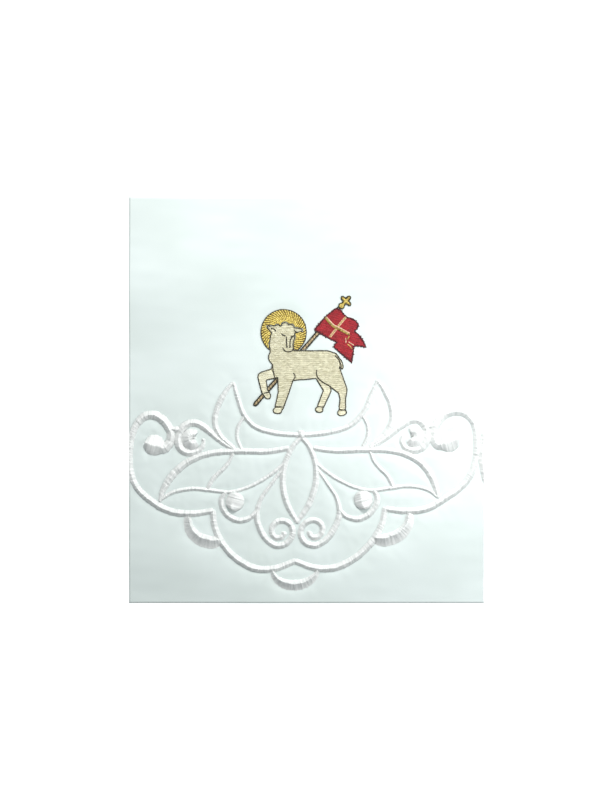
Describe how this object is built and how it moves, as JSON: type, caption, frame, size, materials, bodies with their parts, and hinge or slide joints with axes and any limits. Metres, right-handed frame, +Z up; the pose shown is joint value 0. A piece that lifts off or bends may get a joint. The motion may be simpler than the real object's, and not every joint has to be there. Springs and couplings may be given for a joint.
{
  "type": "altar cloth panel",
  "caption": "Cut panel of white satin altar cloth, with padded scroll embroidery and a traditional lamb emblem in coloured thread.",
  "frame": {"origin": "middle of the panel, on the surface it lies on", "axes": "+X across the panel, +Y towards its top edge, +Z up out of its face"},
  "size_m": [0.284, 0.325, 0.0056],
  "materials": {
    "satin": "white satin weave with a soft sheen",
    "white_thread": "glossy padded satin stitch",
    "beige_thread": "glossy embroidery thread in rows",
    "gold_thread": "glossy gold embroidery thread",
    "red_thread": "glossy red embroidery thread",
    "dark_thread": "dark running stitch that outlines the emblem"
  },
  "bodies": {
    "root": {"cloth": "satin", "scroll_ornament": "white_thread", "lamb": "beige_thread", "halo": "gold_thread", "banner": "red_thread", "banner_cross": "gold_thread", "finial": "gold_thread", "staff_foot": "gold_thread", "staff_chest": "gold_thread", "staff_shoulder": "gold_thread"}
  },
  "joints": []
}
